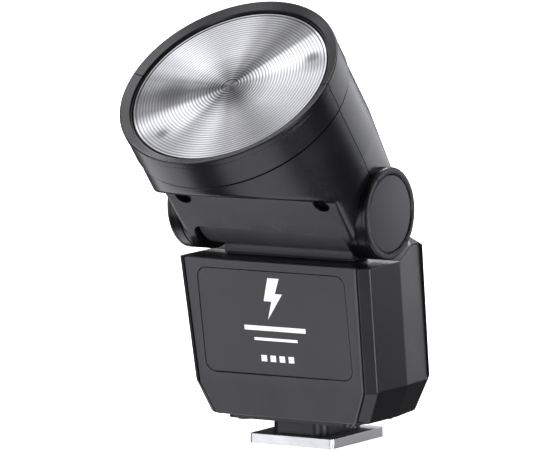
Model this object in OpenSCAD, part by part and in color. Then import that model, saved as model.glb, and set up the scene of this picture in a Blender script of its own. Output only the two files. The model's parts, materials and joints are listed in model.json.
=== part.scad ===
// Compact round-head speedlight flash that slides into a camera's accessory shoe.
// Origin: centre of the shoe foot's lower face. +Z is up and the front faces -Y. Millimetres.
// The body leans forward; the head is held in a fork hinge and is drawn at its rest tilt.

/* [Shoe foot] */
// Width and length of the shoe foot
foot_w = 18.6; // [18.5:0.05:18.65]
// Thickness of the shoe foot
foot_t = 1.8; // [1.75:0.05:1.9]
// Half width of the stem between the shoe's rails
stem_half_w = 5.9; // [5.5:0.1:6.1]
// Half length of the stem
stem_half_l = 7.5; // [7:0.1:8]

/* [Body] */
// Height of the body's underside above the foot's lower face
body_bottom = 5.33; // [5.2:0.01:5.5]
// Height of the crease where the chin begins to draw in
waist_z = 11.42; // [11:0.01:12]
// Height of the deck in front of the hinge
deck_z = 35.33; // [35:0.01:35.6]
// Half width of the body at deck height
deck_half_w = 21.05; // [20.8:0.05:21.3]
// Half width of the body at the chin crease
waist_half_w = 20.2; // [20:0.05:20.5]
// Amount by which the chin draws in on each side
chin_taper = 2.7; // [2.4:0.1:3]
// Forward lean of the body, in degrees
lean_deg = 8.2; // [8:0.1:8.4]
// Wall thickness of the mouldings
wall = 1.6; // [1.4:0.1:1.8]
// Width of the parting gap round the covers
gap = 0.15; // [0.1:0.05:0.2]

/* [Head] */
// Rest tilt of the head above straight ahead, in degrees
tilt_deg = 51.4; // [0:0.1:90]
// Radius of the ring at the front of the head
ring_r = 21.4; // [21.2:0.1:21.6]
// Radius of the head behind its ring
barrel_r = 21.1; // [21:0.1:21.2]
// Distance from the hinge axis to the front rim
head_front = 32.76; // [32:0.01:33.5]
// Distance from the hinge axis to the back of the ring
ring_back = 26; // [25.5:0.1:26.5]
// Distance from the hinge axis to where the barrel begins to draw in
barrel_back = 13; // [12.5:0.1:13.5]
// Radius of the lens
lens_r = 19.2; // [19:0.1:19.3]

/* [Hinge] */
// Depth position of the hinge axis
hinge_y = -8.09; // [-8.3:0.01:-7.9]
// Height of the hinge axis
hinge_z = 44.76; // [44.7:0.01:45]
// Radius of the round bosses and of the fork arms' ends
boss_r = 8.6; // [8.5:0.05:8.65]
// Inner face of each fork arm
arm_in = 16.7; // [16.6:0.1:16.8]
// Outer face of each fork arm
arm_out = 19.1; // [19:0.1:19.2]
// Outer face of each round boss
boss_out = 22; // [21.9:0.1:22.1]
// Radius of the body's barrel between the fork arms
knuckle_r = 7.3; // [7.1:0.05:7.35]

/* [Controls] */
// Radius of the rear dial
dial_r = 5.4; // [5:0.1:5.6]
// Travel of the power slider
slider_travel = 2.4; // [2:0.1:2.6]
// Travel of a shoe contact pin
pin_travel = 0.5; // [0.4:0.1:0.6]

/* [Hidden] */
$fn = 64;
hull_fn = 48;
bit = 0.01;              // small overlap that keeps cuts clean
run_gap = 0.05;          // radial clearance of a running fit

// Plan of the casing at waist height and above, measured back from the leaning datum plane
front_y0 = -10.8;        // front plate
strip_y0 = -8.84;        // back edge of the chamfer strip beside the plate
crease_y0 = 1.41;        // vertical crease of the side
slope_gap = 0.05;        // from the crease back to the foot of the shoulder's slope
shoulder_slope = 0.475;  // rise over run of the shoulder's slope
rear_y0 = 11.3;          // parting line of the rear cover
back_y0 = 13.4;          // rear face
strip_w = 2;             // width of the chamfer strip
side_taper = 1.5;        // how far the side draws in behind its crease
rear_inset = 3.55;       // how far the rear face is narrower than the side
chin_front = 0.49;       // how far the chin's front draws back
chin_rear = 1.5;         // how far the chin's rear draws forward
plate_t = 1.5;           // thickness of the front plate
shoulder_z = 37.6;       // side edge of the raised shoulder behind the hinge
shoulder_top = 39.15;    // top of the shoulder
shoulder_inset = 2.3;    // width of the bevel round the shoulder

// Label panel set in the front plate, in the leaning frame
panel_w = 32.6;
panel_h = 20.3;
panel_z = 25.43;
panel_t = 0.7;
panel_r = 2;

// Rear controls, as [across, up] in the leaning frame of the rear face
rear_face = back_y0 * cos(lean_deg);
display_at = [0, 27.2];
display_w = 25;
display_h = 10.6;
dial_at = [7.4, 16.3];
mode_at = [-10, 19.3];
sync_at = [-2.8, 19.3];
test_at = [-2.8, 13.4];
slider_at = [-9.2, 13.4];
key_w = 5.6;
key_h = 3.2;
test_r = 1.9;
set_r = 2.4;
slider_w = 3.4;
slider_h = 2.6;
key_proud = 0.8;         // how far a key stands out of the rear face
cover_screw_at = [[-14.3, 11.3], [14.3, 11.3], [-15, 34.6], [15, 34.6]];

// Hinge stack on each side, outwards from the barrel
knuckle_out = 16.3;
axle_r = 4;
axle_in = 10;
axle_out = 21.2;
axle_bore = 2.2;
wire_hole_r = 1.6;       // hole through the deck and the neck for the wires
wire_y = -6.3;           // depth position of that hole
wire_end = 33.4;         // lower end of the wires, just under the deck
bush_r = 6;
clip_x = 20.5;
clip_t = 0.5;
cap_r = 7.25;
cap_x = 21.2;

// Head details, along the optical axis from the hinge
split_v = 0.8;           // height of the shells' parting plane above the optical axis
panel_v = -8.6;          // underside panel
step_sum = 2.9;          // the underside step lies where axial plus vertical place equals this
fork_u = 2.5;            // rear edge of the underside panel
cover_end = 54;          // angle by which the upper shell wraps down behind the knuckle
lens_u = 30.2;
lens_t = 1.5;
retainer_u = 28.9;
reflector_u = 15;
tube_u = 20;
board_u = 12.4;
head_screw_at = [15.2, 10.3];
neck_screw_at = [[-9, -6.2], [9, -6.2]];

// Shoe contacts on the foot
signal_at = [[-3.1, 3.6], [3.1, 3.6], [-3.1, -3.6], [3.1, -3.6]];
centre_r = 1.2;
signal_r = 0.6;
block_top = 3.2;
spring_top = 7;
foot_screw_at = [[-4.4, -6], [4.4, -6], [-4.4, 6], [4.4, 6]];
base_screw_at = [[-11.8, -6.6], [11.8, -6.6], [-11.8, 5.2], [11.8, 5.2]];
base_z = 4.6;

// ---- Frames and shared shapes -------------------------------------------------------------

// The body's own frame: leaning forward about the X axis
module lean() rotate([lean_deg, 0, 0]) children();

// A place on the rear face: local +Z points backwards out of the face
module on_rear(at, depth = 0) {
  lean() translate([at.x, rear_face - depth, at.y]) rotate([-90, 0, 0]) children();
}

// The head's frame: X across, Y towards the head's top, Z along the optical axis
module head_frame() translate([0, hinge_y, hinge_z]) rotate([90 - tilt_deg, 0, 0]) children();

module both_sides() for (side = [0, 1]) mirror([side, 0, 0]) children();

module along_x(from, to, r) translate([from, 0, 0]) rotate([0, 90, 0]) cylinder(r = r, h = to - from);

module ring_x(from, to, r_out, r_in) difference() {
  along_x(from, to, r_out);
  along_x(from - 1, to + 1, r_in);
}

// A rounded plate built from a cross of boxes and four corner cylinders, so its corners stay true
module round_plate(w, h, t, r) {
  linear_extrude(t) union() {
    square([w - 2 * r, h], center = true);
    square([w, h - 2 * r], center = true);
    for (x = [-1, 1], y = [-1, 1]) translate([x * (w / 2 - r), y * (h / 2 - r)]) circle(r = r);
  }
}

// A screw along Z: a cheese head above z = 0 and its shank below, with a cross recess
module screw(head_r, head_t, shank_r, length) difference() {
  union() {
    cylinder(r = head_r, h = head_t);
    translate([0, 0, -length]) cylinder(r = shank_r, h = length + bit);
  }
  for (turn = [0, 90]) rotate(turn) translate([-head_r * 0.6, -head_r * 0.14, head_t * 0.5])
    cube([head_r * 1.2, head_r * 0.28, head_t]);
}

// A coil spring along +Z from the origin, swept as one tube with closed ends
module coil_spring(length, r, wire_r, turns) {
  steps = 10 * turns;
  sides = 6;
  points = [for (i = [0 : steps], k = [0 : sides - 1])
    let (a = 360 * i / 10, b = 360 * k / sides, rr = r + wire_r * cos(b))
    [rr * cos(a), rr * sin(a), wire_r + (length - 2 * wire_r) * i / steps + wire_r * sin(b)]];
  walls = [for (i = [0 : steps - 1], k = [0 : sides - 1])
    let (n = (k + 1) % sides, a = i * sides, b = a + sides) [a + k, b + k, b + n, a + n]];
  caps = [[for (k = [0 : sides - 1]) k], [for (k = [sides - 1 : -1 : 0]) steps * sides + k]];
  polyhedron(points, concat(walls, caps), convexity = 6);
}

// ---- Casing ------------------------------------------------------------------------------

// Share of the chin's draw at height z: 0 at the waist and above, 1 at the underside
function chin(z) = z < waist_z ? (waist_z - z) / (waist_z - body_bottom) : 0;
function side_x(z) = z < waist_z
  ? waist_half_w - chin_taper * chin(z)
  : waist_half_w + (deck_half_w - waist_half_w) * (z - waist_z) / (deck_z - waist_z);
function lean_y(z) = -z * tan(lean_deg);

// Both halves of an outline whose right half is given as [x, y] from front to back
function mirrored(half) = concat(half, [for (i = [len(half) - 1 : -1 : 0]) [-half[i].x, half[i].y]]);

// Outline of the casing at height z, drawn in by the amount inset
function casing_outline(z, inset) = let (w = side_x(z) - inset, c = chin(z), y = lean_y(z)) mirrored([
  [w - strip_w, y + front_y0 + chin_front * c + inset],
  [w, y + strip_y0 + 0.3 * c + inset * 0.4],
  [w, y + crease_y0 - 0.2 * c],
  [w - side_taper, y + rear_y0 - chin_rear * c - inset * 0.4],
  [w - rear_inset, y + back_y0 - chin_rear * c - inset]]);

// Rectangular outline between two distances from the datum plane, side_inset inside the casing's side
function band_outline(z, side_inset, y_from, y_to) = let (w = side_x(z) - side_inset, y = lean_y(z)) mirrored([
  [w, y + y_from + chin_front * chin(z)],
  [w, y + y_to + chin_front * chin(z)]]);

function raise(outline, z) = [for (p = outline) [p.x, p.y, z]];

// A solid through a stack of outlines that all have the same number of points
module loft(rings) {
  n = len(rings[0]);
  last = len(rings) - 1;
  points = [for (ring = rings) each ring];
  walls = [for (i = [0 : last - 1], k = [0 : n - 1])
    let (m = (k + 1) % n) [i * n + k, (i + 1) * n + k, (i + 1) * n + m, i * n + m]];
  floor_face = [[for (k = [0 : n - 1]) k]];
  top_face = [[for (k = [n - 1 : -1 : 0]) last * n + k]];
  polyhedron(points, concat(walls, floor_face, top_face), convexity = 4);
}

// The whole casing's outer form, before it is split into covers
module casing_form() difference() {
  loft([
    raise(casing_outline(body_bottom, 0), body_bottom),
    raise(casing_outline(waist_z, 0), waist_z),
    raise(casing_outline(shoulder_z, 0), shoulder_z),
    raise(casing_outline(shoulder_top, shoulder_inset), shoulder_top)]);
  deck_cut();
}

// Space above the deck and in front of the shoulder's slope; the corner stands just behind the crease
module deck_cut() {
  slope_y = lean_y(deck_z) + crease_y0 + slope_gap;
  run = (shoulder_top + 2 - deck_z) / shoulder_slope;
  rotate([90, 0, 90]) translate([0, 0, -30]) linear_extrude(60)
    polygon([[-30, deck_z], [slope_y, deck_z], [slope_y + run, shoulder_top + 2], [-30, shoulder_top + 2]]);
}

// Everything between two distances from the datum plane
module depth_band(y_from, y_to) lean() translate([-30, y_from * cos(lean_deg), -20])
  cube([60, (y_to - y_from) * cos(lean_deg), 80]);

module casing_cavity() loft([
  raise(casing_outline(body_bottom + wall, wall), body_bottom + wall),
  raise(casing_outline(waist_z, wall), waist_z),
  raise(casing_outline(deck_z - wall, wall), deck_z - wall)]);

module front_cover() color("#555557") difference() {
  loft([for (z = [body_bottom, waist_z, deck_z])
    raise(band_outline(z, strip_w + gap, front_y0, front_y0 + plate_t), z)]);
  lean() translate([0, front_y0 * cos(lean_deg) - 1, panel_z]) rotate([-90, 0, 0])
    round_plate(panel_w, panel_h, panel_t + 1.02, panel_r);
}

module label_panel() color("#505052")
  lean() translate([0, front_y0 * cos(lean_deg) + 0.02, panel_z]) rotate([-90, 0, 0])
    round_plate(panel_w - 2 * gap, panel_h - 2 * gap, panel_t - 0.02, panel_r - gap);

module main_housing() color("#3a3a3c") difference() {
  intersection() {
    casing_form();
    depth_band(front_y0 - 1, rear_y0 - gap);
  }
  difference() {
    casing_cavity();
    screw_posts();
  }
  loft([for (z = [body_bottom - 1, waist_z, shoulder_top + 1])
    raise(band_outline(z, strip_w - gap, front_y0 - 2, front_y0 + plate_t + gap), z)]);
  for (at = cover_screw_at) on_rear(at, 12) cylinder(r = 0.8, h = 12);
  for (at = base_screw_at) translate([at.x, at.y, 0]) cylinder(r = 0.8, h = 9.5);
  translate([0, 0, body_bottom - 1]) cylinder(r = 5.8, h = wall + 2);
  translate([0, wire_y, deck_z - wall - 1]) cylinder(r = wire_hole_r, h = wall + 2);
  neck_screw_holes();
  usb_opening();
}

// Posts that stand in the housing's cavity and take the cover and base screws
module screw_posts() {
  for (at = cover_screw_at) lean() translate([at.x - 2 + 1.5 * sign(at.x), 4, at.y - 2.2])
    cube([5, rear_face, 4.4]);
  for (at = base_screw_at) translate([at.x, at.y, body_bottom]) cylinder(r = 1.9, h = 4.5);
}

module rear_cover() color("#38383a") difference() {
  intersection() {
    casing_form();
    depth_band(rear_y0, back_y0 + 1);
  }
  casing_cavity();
  on_rear(display_at, 1.25) round_plate(display_w + 0.3, display_h + 0.3, 3, 1.2);
  on_rear(display_at, 6) round_plate(display_w - 2.4, display_h - 2, 7, 0.8);
  on_rear(dial_at, 5) cylinder(r = dial_r + 0.2, h = 6);
  for (at = [mode_at, sync_at]) on_rear(at, 4) round_plate(key_w + 0.2, key_h + 0.2, 5, 0.8);
  on_rear(test_at, 4) cylinder(r = test_r + 0.1, h = 5);
  on_rear(slider_at, 4) round_plate(slider_w + slider_travel + 0.3, slider_h + 0.2, 5, 0.6);
  for (at = cover_screw_at) on_rear(at, 8) cylinder(r = 0.85, h = 9);
  for (at = cover_screw_at) on_rear(at, 0.9) cylinder(r = 1.5, h = 2);
}

module display_window() color("#101014") on_rear(display_at, 1.2)
  round_plate(display_w, display_h, 1.2, 1.05);

module display_module() color("#8fa39a") on_rear(display_at, 4.1)
  round_plate(display_w - 1, display_h - 0.8, 2.3, 0.6);

module control_board() color("#1f5a3c") on_rear([0, 21.6], 6.6) difference() {
  translate([-12.6, -11.2, 0]) cube([25.2, 22.4, 1]);
  for (x = [-11.4, 11.4]) translate([x, -10.4, -1]) cylinder(r = 0.7, h = 3);
}

module main_board() color("#1f5a3c") lean() translate([-16, -2.6, 10.8]) difference() {
  cube([32, 1.2, 13.8]);
  for (x = [2, 30]) translate([x, 3, 11.8]) rotate([90, 0, 0]) cylinder(r = 0.8, h = 4);
}

module battery_pack() color("#3c62a0") lean() translate([0, -3, 21.6]) rotate([90, 0, 0])
  round_plate(31, 20.6, 5.8, 1.5);

module main_capacitor() color("#26262b") lean() translate([-13, 1.75, 29.3]) {
  difference() {
    along_x(0, 26, 4.2);
    ring_x(1.6, 2.2, 5, 3.9);
  }
  for (y = [-1.6, 1.6]) translate([26 - bit, y, 0]) along_x(0, 1.5, 0.4);
}

module transformer() color("#b8862d") lean() translate([0, -1.38, 16.6]) difference() {
  translate([-5, 0, -4]) cube([10, 7, 8]);
  for (x = [-5.1, 3.9]) translate([x, -1, -2.2]) cube([1.2, 9, 4.4]);
}

module usb_opening() usb_frame() round_box(9.2, 3.5, 6, 1.6);

module usb_frame() translate([-side_x(20) - 0.2, lean_y(20) - 3.2, 20]) rotate([0, 90, 0]) rotate(90) children();

module round_box(w, h, depth, r) translate([0, 0, -1]) round_plate(w, h, depth, r);

module usb_socket() color("silver") usb_frame() difference() {
  translate([0, 0, 0.3]) round_plate(9, 3.3, 4.2, 1.5);
  difference() {
    translate([0, 0, -1]) round_plate(8.3, 2.6, 4.6, 1.2);
    translate([-3.3, -0.35, 0.9]) cube([6.6, 0.7, 3]);
  }
}

module dial_encoder() color("#6a6a70") on_rear(dial_at, 5.5) difference() {
  cylinder(r = 4.9, h = 1.9);
  translate([0, 0, -1]) cylinder(r = 2.65, h = 4);
}

module tact_switches() color("#c9c9cc") for (at = [mode_at, sync_at, test_at, dial_at])
  on_rear(at, 5.5) {
    translate([-1.5, -1.5, 0]) cube([3, 3, 1]);
    cylinder(r = 0.9, h = 1.5);
  }

// A rear push key: a cap that stands out of the cover, over a wider flange behind it
module key(at, flange_w, flange_h) on_rear(at, 3.4) {
  translate([0, 0, 1.4]) round_plate(key_w, key_h, 2 + key_proud, 0.7);
  translate([-flange_w / 2, -flange_h / 2, 0]) cube([flange_w, flange_h, 1.4 + bit]);
}

module mode_button() color("#2a2a2c") key(mode_at, key_w + 0.6, key_h + 0.4);

module sync_button() color("#2a2a2c") key(sync_at, key_w + 0.6, key_h + 0.4);

module test_button() color("#b5413a") on_rear(test_at, 3.4) {
  cylinder(r = test_r, h = 3.4 + key_proud);
  cylinder(r = test_r + 0.5, h = 1.4);
}

module power_switch() color("#2a2a2c") on_rear(slider_at, 3.2) translate([-slider_travel / 2, 0, 0]) {
  translate([0, 0, 1.2]) round_plate(slider_w, slider_h, 2 + key_proud, 0.6);
  for (rib = [-1 : 1]) translate([rib * 0.9 - 0.2, -slider_h / 2 + 0.1, 3.9]) cube([0.4, slider_h - 0.2, 0.45]);
  translate([-slider_w / 2 - 0.5, -slider_h / 2 - 0.4, 0]) cube([slider_w + 1, slider_h + 0.8, 1.3]);
}

module control_dial() color("#222224") on_rear(dial_at, 3.2) difference() {
  union() {
    cylinder(r = dial_r, h = 5.4);
    for (i = [0 : 23]) rotate(15 * i) translate([dial_r - 0.06, 0, 3.5])
      rotate([0, 0, 45]) translate([-0.12, -0.12, 0]) cube([0.24, 0.24, 1.9]);
  }
  translate([0, 0, -1]) cylinder(r = set_r + 0.08, h = 8);
}

module set_button() color("#d8d8dc") on_rear(dial_at, 3.4) cylinder(r = set_r, h = 5.3);

// ---- Foot -------------------------------------------------------------------------------

module foot_plate() color("#d9d9dc") difference() {
  round_foot();
  contact_holes(-1, foot_t + 2, 0.25);
  for (at = foot_screw_at) translate([at.x, at.y, -1]) cylinder(r = 0.75, h = 4);
  for (at = foot_screw_at) translate([at.x, at.y, -1]) cylinder(r = 1.3, h = 1.8);
}

module round_foot() difference() {
  round_plate(foot_w, foot_w, foot_t, 0.8);
  translate([foot_w / 2, foot_w / 2, -1]) difference() {
    translate([-1.5, -1.5, 0]) cube([2, 2, foot_t + 2]);
    translate([-1.5, -1.5, -1]) cylinder(r = 1.5, h = foot_t + 4);
  }
}

// Holes for the contact block's insulated collars
module contact_holes(z, h, spare) {
  translate([0, 0, z]) cylinder(r = centre_r + 0.9 + spare, h = h);
  for (at = signal_at) translate([at.x, at.y, z]) cylinder(r = signal_r + 0.5 + spare, h = h);
}

module foot_stem() color("#161618") difference() {
  translate([0, 0, foot_t]) round_plate(2 * stem_half_w, 2 * stem_half_l, base_z - foot_t, 2.4);
  translate([0, 0, foot_t - 1]) round_plate(8.7, 9.3, block_top - foot_t + 1.2, 1);
  translate([0, 0, foot_t - 1]) cylinder(r = 2.4, h = 5);
  for (at = signal_at) translate([at.x, at.y, 0]) cylinder(r = signal_r + 0.35, h = 6);
  for (at = foot_screw_at) translate([at.x, at.y, 0]) cylinder(r = 0.75, h = 6);
}

// Small board that the contact springs press against, on the housing's floor
module contact_board() color("#1f5a3c") translate([0, 0, spring_top + 0.05]) round_plate(14, 12.4, 0.8, 1);

// Insulating block that carries the contact pins through the foot
module contact_block() color("#101012") difference() {
  union() {
    translate([0, 0, foot_t]) round_plate(8.5, 9.1, block_top - foot_t, 0.9);
    contact_holes(0.05, foot_t - 0.05 + bit / 2, 0);
  }
  translate([0, 0, -1]) cylinder(r = centre_r + run_gap, h = 6);
  for (at = signal_at) translate([at.x, at.y, -1]) cylinder(r = signal_r + run_gap, h = 6);
}

module base_plate() color("#2c2c2e") difference() {
  translate([0, -1, base_z]) round_plate(28, 18, body_bottom - base_z, 2);
  translate([0, 0, base_z - 1]) cylinder(r = 2.4, h = 3);
  for (at = signal_at) translate([at.x, at.y, base_z - 1]) cylinder(r = signal_r + 0.35, h = 3);
  for (at = foot_screw_at) translate([at.x, at.y, base_z - 1]) cylinder(r = 0.75, h = 3);
  for (at = base_screw_at) translate([at.x, at.y, base_z - 1]) cylinder(r = 0.85, h = 3);
}

module foot_screws() color("#8d8d92") for (at = foot_screw_at)
  translate([at.x, at.y, 0.75]) rotate([180, 0, 0]) screw(1.2, 0.65, 0.7, 4.4);

module base_screws() color("#3a3a3e") for (at = base_screw_at)
  translate([at.x, at.y, base_z - 0.05]) rotate([180, 0, 0]) screw(1.4, 0.5, 0.75, 4.6);

module cover_screws() color("#3a3a3e") for (at = cover_screw_at)
  on_rear(at, 0.85) screw(1.35, 0.65, 0.75, 6.6);

// A contact pin with a retaining collar above the block
module contact_pin(r, tip) {
  translate([0, 0, -tip]) cylinder(r = r - 0.2, h = 0.21);
  translate([0, 0, 0.2 - tip]) cylinder(r = r, h = block_top + tip - 0.15);
  translate([0, 0, block_top + 0.05]) cylinder(r = r + 0.25, h = 0.5);
}

module centre_pin() color("gold") contact_pin(centre_r, pin_travel);

module centre_spring() color("silver") translate([0, 0, block_top + 0.6])
  coil_spring(spring_top - block_top - 0.6, 1.1, 0.17, 4);

module signal_pin(i) color("gold") translate([signal_at[i].x, signal_at[i].y, 0])
  contact_pin(signal_r, pin_travel);

module signal_spring(i) color("silver") translate([signal_at[i].x, signal_at[i].y, block_top + 0.6])
  coil_spring(spring_top - block_top - 0.6, 0.55, 0.1, 5);

// ---- Hinge ------------------------------------------------------------------------------

// Fixed knuckle on the body: a platform on the deck that rises into a barrel between the fork arms
module neck_block() color("#1c1c1e") difference() {
  union() {
    translate([0, hinge_y, hinge_z]) along_x(-knuckle_out, knuckle_out, knuckle_r);
    rotate([90, 0, 90]) translate([0, 0, -14.2]) linear_extrude(28.4)
      polygon([[-8.5, deck_z + 0.02], [-8.5, 35.75], [-9.1, 35.75], [-9.1, 37.3], [-8.6, 38.2],
        [hinge_y, hinge_z], [-3.75, 39], [-3.75, deck_z + 0.02]]);
  }
  translate([0, hinge_y, hinge_z]) along_x(-20, 20, 2.6);
  translate([0, hinge_y, hinge_z]) both_sides() along_x(axle_in, 20, axle_r + 0.02);
  translate([0, wire_y, 30]) cylinder(r = wire_hole_r, h = hinge_z - 30);
  neck_screw_holes();
}

module neck_screw_holes() for (at = neck_screw_at) translate([at.x, at.y, deck_z - 4]) cylinder(r = 0.8, h = 8);

module neck_screws() color("#3a3a3e") for (at = neck_screw_at)
  translate([at.x, at.y, deck_z - wall - 0.05]) rotate([180, 0, 0]) screw(1.4, 0.6, 0.75, 4.8);

module hinge_axles() color("#b9b9be") translate([0, hinge_y, hinge_z]) both_sides() difference() {
  ring_x(axle_in + 0.1, axle_out, axle_r, axle_bore);
  ring_x(clip_x, clip_x + clip_t, axle_r + 1, 3.4);
}

module friction_washers() color("#c8b070") translate([0, hinge_y, hinge_z]) both_sides()
  ring_x(knuckle_out + 0.04, arm_in - 0.04, 6.8, axle_r + 0.03);

module axle_clips() color("#55555a") translate([0, hinge_y, hinge_z]) both_sides() difference() {
  ring_x(clip_x + 0.03, clip_x + clip_t - 0.03, 5.8, 3.43);
  translate([clip_x - 1, -8, -1.6]) cube([3, 6, 3.2]);
}

module hinge_harness() color("#a03030") {
  translate([0, hinge_y, hinge_z]) along_x(-9, 9, 1.5);
  translate([0, wire_y, wire_end]) cylinder(r = 1.2, h = hinge_z - wire_end);
}

// ---- Head -------------------------------------------------------------------------------

// Outer or inner form of the head; shrink is the distance inside the outer skin
module head_form(shrink) {
  translate([0, 0, barrel_back]) cylinder(r = barrel_r - shrink, h = ring_back - barrel_back + bit);
  hull() {
    translate([0, 0, barrel_back]) cylinder(r = barrel_r - shrink, h = 0.02, $fn = hull_fn);
    rotate([0, 90, 0]) cylinder(r = boss_r - shrink, h = 2 * (arm_out - shrink), center = true, $fn = hull_fn);
  }
}

// Space below the underside step and panel, raised by shrink for the inner form
module underside_cut(shrink) {
  v = panel_v + shrink;
  u = step_sum - panel_v + shrink * 0.41;
  rotate([90, 0, 90]) translate([0, 0, -30]) linear_extrude(60)
    polygon([[v, -20], [v, u], [v - 20, u + 20], [v - 40, -20]]);
}

module head_skin() union() {
  difference() {
    head_form(0);
    underside_cut(0);
  }
  translate([0, 0, ring_back]) cylinder(r = ring_r, h = head_front - ring_back);
  both_sides() along_x(arm_in, arm_out + bit, boss_r);
  both_sides() along_x(arm_out, boss_out, boss_r);
}

module head_hollow() {
  difference() {
    head_form(wall);
    underside_cut(wall);
    both_sides() translate([arm_in - 1.4, -30, -30]) cube([30, 60, 38.6]);
  }
  translate([0, 0, ring_back - 1]) cylinder(r = lens_r + 0.15, h = lens_u + lens_t - ring_back + 1.1);
  translate([0, 0, lens_u + lens_t]) cylinder(r1 = lens_r + 0.1, r2 = ring_r - 0.55, h = head_front - lens_u - lens_t + bit);
}

// Space that the body's knuckle and neck need as the head tilts, between the fork arms
module knuckle_sweep() {
  along_x(-arm_in, arm_in, 7.65);
  intersection() {
    along_x(-arm_in, arm_in, 16);
    rotate([90, 0, 90]) translate([0, 0, -arm_in]) linear_extrude(2 * arm_in)
      polygon([[0, 0], [0, fork_u], [-16, fork_u], [-16, -20], [16 * cos(cover_end), -20],
        [16 * cos(cover_end), -16 * sin(cover_end)]]);
  }
}

module head_shell() difference() {
  head_skin();
  head_hollow();
  knuckle_sweep();
  both_sides() {
    along_x(arm_in - 1, clip_x - 0.1, bush_r + 0.02);
    along_x(clip_x - 0.11, cap_x + bit, 6.6);
    along_x(cap_x, boss_out + 1, cap_r + 0.12);
    translate([head_screw_at.x, panel_v - 1, head_screw_at.y]) rotate([-90, 0, 0]) cylinder(r = 0.9, h = 14);
    translate([head_screw_at.x, panel_v - 1, head_screw_at.y]) rotate([-90, 0, 0]) cylinder(r = 1.7, h = 2.5);
  }
}

// Posts that take the two screws from the underside panel
module head_posts(v_from, v_to) both_sides() translate([head_screw_at.x, v_from, head_screw_at.y])
  rotate([-90, 0, 0]) difference() {
    cylinder(r = 2, h = v_to - v_from);
    translate([0, 0, -1]) cylinder(r = 0.9, h = v_to - v_from + 2);
  }

module head_lower_shell() color("#2e2e30") head_frame() union() {
  intersection() {
    head_shell();
    translate([-30, -40 + split_v, -20]) cube([60, 40, 60]);
  }
  head_posts(panel_v + 1.5, split_v);
}

module head_upper_shell() color("#5a5a5e") head_frame() union() {
  intersection() {
    head_shell();
    translate([-30, split_v, -20]) cube([60, 40, 60]);
  }
  head_posts(split_v, 5);
}

module fresnel_lens() color("#e8e8ea") head_frame() translate([0, 0, lens_u]) difference() {
  cylinder(r = lens_r, h = lens_t);
  for (i = [1 : 9]) translate([0, 0, lens_t - 0.15]) difference() {
    cylinder(r = i * 2 + 0.15, h = 1);
    translate([0, 0, -1]) cylinder(r = i * 2 - 0.15, h = 3);
  }
}

module lens_retainer() color("#1a1a1c") head_frame() translate([0, 0, retainer_u]) difference() {
  cylinder(r = lens_r + 0.1, h = lens_u - retainer_u - 0.02);
  translate([0, 0, -1]) cylinder(r = lens_r - 1.7, h = 4);
}

// Polished bowl round the tube: a parabola turned about the optical axis
module reflector() color("#f0f0f2") head_frame() difference() {
  translate([0, 0, reflector_u]) rotate_extrude() {
    polygon(concat(
      [for (i = [0 : 12]) let (r = 3 + 14 * i / 12) [r, (r * r - 9) * (retainer_u - reflector_u - 0.2) / 280]],
      [for (i = [12 : -1 : 0]) let (r = 3 + 14 * i / 12)
        [r + 0.6, max(0, (r * r - 9) * (retainer_u - reflector_u - 0.2) / 280 - 0.1)]]));
  }
  translate([0, 0, tube_u]) along_x(-20, 20, 2.3);
}

module flash_tube() color("#dfe6ee") head_frame() translate([0, 0, tube_u]) {
  along_x(-13.4, 13.4, 1.9);
}

module tube_sleeves() color("#e9e4d8") head_frame() translate([0, 0, tube_u]) both_sides() difference() {
  along_x(13.42, 16.6, 2.2);
  along_x(13, 15, 0.6);
}

// Leads that run back from each end of the tube to the trigger board
module tube_leads() color("#b03030") head_frame() both_sides() translate([15.4, 0, board_u + 1.3])
  cylinder(r = 0.5, h = tube_u - board_u - 3.55);

module trigger_board() color("#1f5a3c") head_frame() translate([-16.2, -4.2, board_u]) difference() {
  cube([32.4, 12, 1.2]);
  for (x = [1, 31.4]) translate([x, 2.6, -1]) cylinder(r = 0.5, h = 4);
}

module trigger_coil() color("#8a5a28") head_frame() translate([-3, 7, board_u + 2.35])
  ring_x(0, 6, 1.1, 0.3);

module pivot_bushes() color("#d8d4c4") head_frame() both_sides()
  ring_x(arm_in, clip_x - 0.12, bush_r, axle_r + run_gap);

module pivot_cap() head_frame() along_x(cap_x + 0.02, boss_out - 0.15, cap_r);

module right_pivot_cap() color("#55555a") pivot_cap();

module left_pivot_cap() color("#55555a") mirror([1, 0, 0]) pivot_cap();

module head_screws() color("#3a3a3e") head_frame() both_sides()
  translate([head_screw_at.x, panel_v + 1.48, head_screw_at.y]) rotate([90, 0, 0])
    screw(1.5, 0.6, 0.8, 9);

// ---- Assembly ---------------------------------------------------------------------------

front_cover();
label_panel();
main_housing();
rear_cover();
display_window();
display_module();
control_board();
main_board();
battery_pack();
main_capacitor();
transformer();
usb_socket();
dial_encoder();
tact_switches();
base_plate();
foot_stem();
foot_plate();
contact_block();
contact_board();
foot_screws();
base_screws();
cover_screws();
neck_screws();
neck_block();
hinge_axles();
friction_washers();
axle_clips();
hinge_harness();
control_dial();
set_button();
mode_button();
sync_button();
test_button();
power_switch();
centre_pin();
centre_spring();
signal_pin(0);  // signal_pin_1
signal_pin(1);  // signal_pin_2
signal_pin(2);  // signal_pin_3
signal_pin(3);  // signal_pin_4
signal_spring(0);  // signal_spring_1
signal_spring(1);  // signal_spring_2
signal_spring(2);  // signal_spring_3
signal_spring(3);  // signal_spring_4
head_lower_shell();
head_upper_shell();
fresnel_lens();
lens_retainer();
reflector();
flash_tube();
tube_sleeves();
tube_leads();
trigger_board();
trigger_coil();
pivot_bushes();
left_pivot_cap();
right_pivot_cap();
head_screws();
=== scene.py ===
import json
import math

import bmesh
import bpy
import numpy as np
from mathutils import Matrix, Vector


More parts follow.
